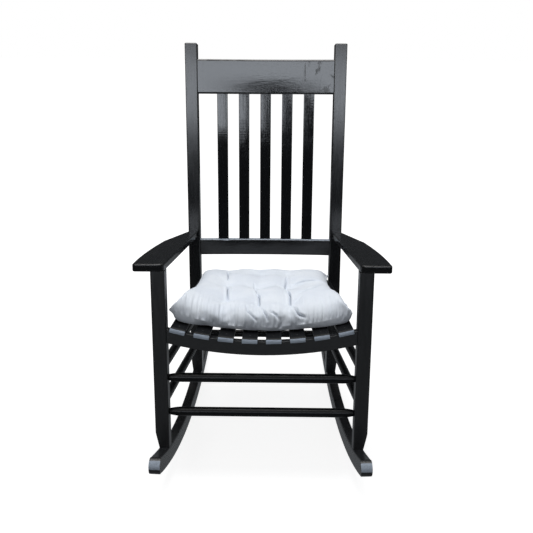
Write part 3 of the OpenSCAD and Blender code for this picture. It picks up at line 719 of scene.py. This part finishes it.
start_points, squares, top_number, under_number = joined(top * start_share, under * start_share)
settle_frames = 22
reach_cap = 0.024
growth = 0.018
draft = new_piece("cushion_draft", start_points.tolist(), squares.tolist())
held = draft.vertex_groups.new(name="stitches")
held.add(np.concatenate([top_number[stitched], under_number[stitched]]).tolist(), 1.0, "REPLACE")
cloth = draft.modifiers.new("cover", "CLOTH").settings
cloth.quality = 6
cloth.mass = 0.15
cloth.tension_stiffness = 18
cloth.compression_stiffness = 6
cloth.shear_stiffness = 4
cloth.bending_stiffness = 0.4
cloth.air_damping = 4
cloth.use_pressure = True
cloth.uniform_pressure_force = 4
cloth.shrink_min = -growth
cloth.vertex_group_mass = "stitches"
cloth.effector_weights.gravity = 0
draft.modifiers["cover"].point_cache.frame_start = 1
draft.modifiers["cover"].point_cache.frame_end = settle_frames
for number in range(1, settle_frames + 1):
    bpy.context.scene.frame_set(number)
settled = draft.evaluated_get(bpy.context.evaluated_depsgraph_get()).to_mesh()
flat = np.zeros(len(settled.vertices) * 3)
settled.vertices.foreach_get("co", flat)
moved = flat.reshape(-1, 3) - start_points
far = np.linalg.norm(moved, axis=1, keepdims=True)
start_points = start_points + moved * np.minimum(1, reach_cap / far.clip(1e-6))
bpy.context.scene.frame_set(1)
bpy.data.objects.remove(draft)
top = start_points[top_number]
under = start_points[under_number]

# A few passes of smoothing take out the small crumples that the cloth made
smoothing_passes = 5
smoothing_share = 0.5
for _ in range(smoothing_passes):
    for panel in (top, under):
        beside = panel[:-2, 1:-1] + panel[2:, 1:-1] + panel[1:-1, :-2] + panel[1:-1, 2:]
        panel[1:-1, 1:-1] += smoothing_share * (beside / 4 - panel[1:-1, 1:-1])


def finer(panel):
    """Twice as many points, on a smooth curve through the ones there are."""
    for axis in (0, 1):
        panel = np.moveaxis(panel, axis, 0)
        ends = np.concatenate([[2 * panel[0] - panel[1]], panel, [2 * panel[-1] - panel[-2]]])
        between = (9 * (ends[1:-2] + ends[2:-1]) - ends[:-3] - ends[3:]) / 16
        full = np.zeros((2 * len(panel) - 1,) + panel.shape[1:])
        full[::2], full[1::2] = panel, between
        panel = np.moveaxis(full, 0, axis)
    return panel


top, under = finer(finer(top)), finer(finer(under))

# The settled form goes back to the width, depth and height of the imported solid
crown_height = 0.085
crown_follows_seat = 0.4
crown_percentile = 99
both = np.concatenate([top.reshape(-1, 3), under.reshape(-1, 3)])
widen = half_front / max(both[:, 0].max(), -both[:, 0].min())
front_edge, rear_edge = both[:, 1].min(), both[:, 1].max()
over_seat = both[:, 2] - crown_follows_seat * seat_height(both[:, 0], both[:, 1])
crown = np.percentile(over_seat, crown_percentile)
for panel in (top, under):
    panel[..., 0] *= widen
    panel[..., 1] = (panel[..., 1] - front_edge) / (rear_edge - front_edge) * 2 * half_depth - half_depth
    panel[..., 2] *= crown_height / crown


def hump(value, middle, width):
    """One at the middle, fading smoothly to nothing about two widths away from it."""
    return np.exp(-(((value - middle) / width) ** 2))


# The rear of the top is evened out and filled up, and the two ears at the front are filled too
rear_middle = 0.82
rear_width = 0.26
evening_reach = 60
evening_width = 26.0
evening_share = 0.7
rim_sharpness = 60
rear_fill_all = 0.008
rear_fill_middle = 0.010
middle_half_width = 0.55
ear_fill_height = 0.021
ear_across, ear_width = 0.92, 0.13
ear_along, ear_length = -0.70, 0.42
ear_share_below = 0.5
deep, wide = top.shape[:2]
grid_v, grid_u = np.meshgrid(eased(deep), eased(wide), indexing="ij")
at_rear = hump(grid_v, rear_middle, rear_width)
spread = hump(np.arange(-evening_reach, evening_reach + 1), 0, evening_width)
padded = np.pad(top[..., 2], ((0, 0), (evening_reach, evening_reach)), mode="edge")
evened = np.array([np.convolve(line, spread / spread.sum(), mode="valid") for line in padded])
off_rim = ((1 - grid_u ** rim_sharpness) * (1 - grid_v ** rim_sharpness)).clip(0) ** 0.5
off_sides = 1 - grid_u ** 8
top[..., 2] += evening_share * at_rear * off_rim * off_sides * (evened - top[..., 2])
at_middle = np.exp(-((grid_u / middle_half_width) ** 4))
rear_fill = (rear_fill_all + rear_fill_middle * at_middle) * at_rear * off_sides
at_ears = hump(np.abs(grid_u), ear_across, ear_width) * hump(grid_v, ear_along, ear_length)
ear_fill = ear_fill_height * at_ears
top[..., 2] += (rear_fill + ear_fill) * off_rim
under[..., 2] -= ear_share_below * ear_fill * off_rim

# Filling pushes the corners round, and the left of the front edge stands a little off the slats
blunt = 0.024
front_lift = 0.006
lift_width = 0.22
lift_begins = 0.1
lift_grows_over = 0.6
lifted_share = (lift_begins - grid_u).clip(0, lift_grows_over) / lift_grows_over
for panel in (top, under):
    corner_share = (grid_u * grid_v) ** 4
    panel[..., 0] *= 1 - blunt * corner_share
    panel[..., 1] *= 1 - blunt * corner_share
    panel[..., 2] += front_lift * hump(grid_v, -1, lift_width) * lifted_share

# The stitching was knotted at the left front corner and at the right rear one
knots = (
    (top[0, 0].copy(), (-0.0070, -0.0020, 0.0), 0.0085),
    (top[-1, -1].copy(), (0.0060, 0.0040, 0.0), 0.0060),
)
for corner, pull, knot_size in knots:
    for panel in (top, under):
        off = np.linalg.norm(panel - corner, axis=-1, keepdims=True)
        panel += np.array(pull) * hump(off, 0, knot_size)

# How far each point lies from the four seams, measured along the cloth
steps_deep = np.linalg.norm(np.diff(top, axis=0), axis=-1)
steps_across = np.linalg.norm(np.diff(top, axis=1), axis=-1)
from_front = np.concatenate([np.zeros((1, wide)), np.cumsum(steps_deep, 0)], 0)
from_left = np.concatenate([np.zeros((deep, 1)), np.cumsum(steps_across, 1)], 1)
from_rear = from_front[-1:] - from_front
from_right = from_left[:, -1:] - from_left
gathers_per_metre = 150
gather_stretch = 9
gather_start = 0.008


def gathers(run, inward, seed):
    """Ripples that run in from a seam, where the cloth was eased into it."""
    spots = np.stack([run * gathers_per_metre, inward * gather_stretch, np.full_like(run, seed)], -1)
    return np.array([noise_at(Vector(spot)) for spot in spots.reshape(-1, 3)]).reshape(run.shape)


# Each side's run along the seam, way in, seed, strength and reach: the front ones are strongest
lift = np.zeros((deep, wide))
for run, inward, seed, strength, reach in (
    (top[..., 0], from_front, 5.3, 0.0036, 0.080),
    (top[..., 0], from_rear, 17.7, 0.0016, 0.050),
    (top[..., 1], from_left, 31.3, 0.0014, 0.050),
    (top[..., 1], from_right, 47.9, 0.0014, 0.050),
):
    fade = hump(inward, 0, reach) * np.minimum(1, inward / gather_start)
    lift += strength * gathers(run, inward, seed) * fade

# A stitched groove runs just inside the rim, but for the front
groove_inset = 0.007
groove_depth = 0.0010
groove_width = 0.0025
front_without_groove = 0.03
from_sides = np.minimum(from_rear, np.minimum(from_left, from_right))
from_seam = np.minimum(from_front, from_sides)
groove = hump(from_sides, groove_inset, groove_width)
lift -= groove_depth * groove * np.minimum(1, from_front / front_without_groove)

# Creases: each runs from one place to another on the grid and is so deep and so wide, in metres.
# Those in front fan out from the tufts, and the long one is the fold at the right rear corner.
creases = (
    (0.0065, 0.0022, ((-0.119, 0.72), (-0.112, 0.30))),
    (0.0085, 0.0022, ((-0.107, 0.02), (-0.103, -0.30), (-0.100, -0.56))),
    (0.0060, 0.0024, ((-0.029, 0.12), (-0.022, -0.22), (-0.016, -0.42))),
    (0.0110, 0.0021, ((-0.016, -0.42), (-0.010, -0.51), (-0.009, -0.79))),
    (0.0060, 0.0024, ((-0.002, -0.86), (0.011, -0.95), (0.014, -0.98))),
    (0.0060, 0.0024, ((0.073, 0.46), (0.067, 0.05), (0.070, -0.20))),
    (0.0110, 0.0021, ((0.071, -0.29), (0.078, -0.45), (0.078, -0.76))),
    (0.0060, 0.0028, ((0.084, -0.83), (0.097, -0.95), (0.117, -0.98))),
    (0.0050, 0.0026, ((-0.046, -0.82), (-0.040, -0.91), (-0.025, -0.96), (-0.016, -0.98))),
    (0.0045, 0.0026, ((0.020, -0.91), (0.038, -0.95), (0.046, -0.98))),
    (0.0035, 0.0026, ((0.092, -0.87), (0.100, -0.96), (0.106, -0.98))),
    (0.0130, 0.0042, ((0.092, 0.12), (0.124, 0.11), (0.154, 0.03), (0.215, -0.05))),
    (0.0055, 0.0042, ((0.106, -0.47), (0.142, -0.36), (0.185, -0.15))),
    (0.0030, 0.0034, ((0.082, -0.72), (0.110, -0.57))),
    (0.0065, 0.0030, ((0.216, -0.84), (0.227, -0.93), (0.236, -0.98))),
)
least_taper = 0.10
ridge_share = 0.25
ridge_offset = 2.8
ridge_width = 1.8
shade_width = 0.9
fully_shaded_depth = 0.007
crease_shade = np.zeros((deep, wide))
places = np.stack([top[..., 0], from_front], -1)
for depth, width, route in creases:
    nearest = np.full((deep, wide), np.inf)
    taper = np.ones((deep, wide))
    stops = []
    for x, v in route:
        line = np.abs(grid_u[0] - x / half_front).argmin()
        stops.append((x, np.interp(v, grid_v[:, line], from_front[:, line])))
    stops = np.array(stops)
    for number, (start, end) in enumerate(zip(stops[:-1], stops[1:])):
        run = end - start
        along = (((places - start) @ run) / (run @ run)).clip(0, 1)
        beside = np.linalg.norm(places - start - along[..., None] * run, axis=-1)
        share = (number + along) / (len(stops) - 1)
        taper = np.where(beside < nearest, np.sqrt((4 * share * (1 - share)).clip(least_taper)), taper)
        nearest = np.minimum(nearest, beside)
    lift -= depth * taper * hump(nearest, 0, width)
    lift += ridge_share * depth * taper * hump(nearest, ridge_offset * width, ridge_width * width)
    # Painted shade: how dark the cotton's colour is painted along this crease, deepest at its middle
    shade = min(1, depth / fully_shaded_depth) * taper * hump(nearest, 0, shade_width * width)
    crease_shade = np.maximum(crease_shade, shade)

# All of this relief dies out at the seam, and it stands along the cloth's own normals
flat_at_seam = 0.004
lift *= np.minimum(1, from_seam / flat_at_seam)
normals = np.cross(np.gradient(top, axis=1), np.gradient(top, axis=0))
normals /= np.linalg.norm(normals, axis=-1, keepdims=True).clip(1e-12)
top = top + normals * lift[..., None]

# Only the swell above the slats is kept: what would sink below them lies flat on them
bed = 0.0008
softness = 0.004
most_in_exponent = 60
for panel in (top, under):
    seat = seat_height(panel[..., 0], panel[..., 1])
    above = (panel[..., 2] - seat - bed) / softness
    panel[..., 2] = seat + bed + softness * np.log1p(np.exp(np.minimum(above, most_in_exponent)))
points, squares, top_number, under_number = joined(top, under)
points = (points + cushion_middle) @ np.array(upright.inverted()).T
cushion = new_piece("tufted_cushion", points.tolist(), squares.tolist())
for polygon in cushion.data.polygons:
    polygon.use_smooth = True
# The painted crease shade is kept on the mesh, where the cotton's colour reads it
painted_crease_shade = np.zeros(len(points))
painted_crease_shade[top_number.ravel()] = crease_shade.ravel().clip(0, 1)
cushion.data.attributes.new("painted_crease_shade", "FLOAT", "POINT").data.foreach_set("value", painted_crease_shade)

# Plain weave: crossing threads of about a millimetre, with thicker ones here and there
thread_width = 0.0011
warp_slubs_per_metre = (500, 18, 18)
weft_slubs_per_metre = (18, 500, 500)
slub_height = 0.8
weave_group, given, told = new_group(
    "Plain weave",
    [("Vector", "NodeSocketVector", None), ("Thread", "NodeSocketFloat", thread_width)],
    [("Height", "NodeSocketFloat"), ("Slubs", "NodeSocketFloat")],
)
tree = weave_group
per_thread = math_node(tree, "DIVIDE", math.pi, given["Thread"])
turned = add_node(tree, "ShaderNodeVectorMath", {0: given["Vector"], "Scale": per_thread}, operation="SCALE")
thread_axes = axes_of(tree, turned.outputs[0])
warp = math_node(tree, "ABSOLUTE", math_node(tree, "SINE", thread_axes["X"]))
weft = math_node(tree, "ABSOLUTE", math_node(tree, "SINE", thread_axes["Y"]))
warp_slubs = noise(tree, stretched(tree, given["Vector"], warp_slubs_per_metre), 1.0, 3.0, 0.6)
weft_slubs = noise(tree, stretched(tree, given["Vector"], weft_slubs_per_metre), 1.0, 3.0, 0.6)
slubs = math_node(tree, "MAXIMUM", warp_slubs, weft_slubs)
threads = math_node(tree, "MULTIPLY", warp, weft)
tree.links.new(math_node(tree, "MULTIPLY_ADD", slubs, slub_height, threads), told["Height"])
tree.links.new(slubs, told["Slubs"])

# Washed cotton, a little uneven in colour, with painted shade darkening it down in the creases, and faintly
# rumpled
cotton_colour = (0.70, 0.755, 0.835, 1)
cotton_pale = (0.76, 0.81, 0.875, 1)
cotton_slub = (0.60, 0.655, 0.74, 1)
cotton_painted_shade = (0.20, 0.225, 0.27, 1)
rumple_depth = 0.0012
weave_depth = 0.00035
cotton, tree = new_material("cushion_cotton")
place = object_place(tree)
weave = use_group(tree, weave_group, Vector=turned_by(tree, place, (-lean, 0, 0)))
uneven = ramp(tree, noise(tree, place, 14.0, 4.0, 0.55), 0.35, 0.70)
colour = mixed(tree, uneven, cotton_colour, cotton_pale)
colour = mixed(tree, ramp(tree, weave["Slubs"], 0.55, 0.80, 0.0, 0.35), colour, cotton_slub)
# Painted shade: the colour darkens toward a dim blue-grey down in the creases
shaded = add_node(tree, "ShaderNodeAttribute", attribute_name="painted_crease_shade").outputs["Fac"]
colour = mixed(tree, ramp(tree, shaded, 0.25, 1.0, 0.0, 0.85), colour, cotton_painted_shade)
rumples = bumped(tree, noise(tree, place, 75.0, 4.0, 0.6), 0.35, rumple_depth)
end_in(tree, {
    "Base Color": colour,
    "Roughness": 0.85,
    "Normal": bumped(tree, weave["Height"], 0.35, weave_depth, Normal=rumples),
    "Sheen Weight": 0.18,
    "Specular IOR Level": 0.25,
})
cushion.data.materials.append(cotton)

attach(cushion, "cushion")
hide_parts("cushion")
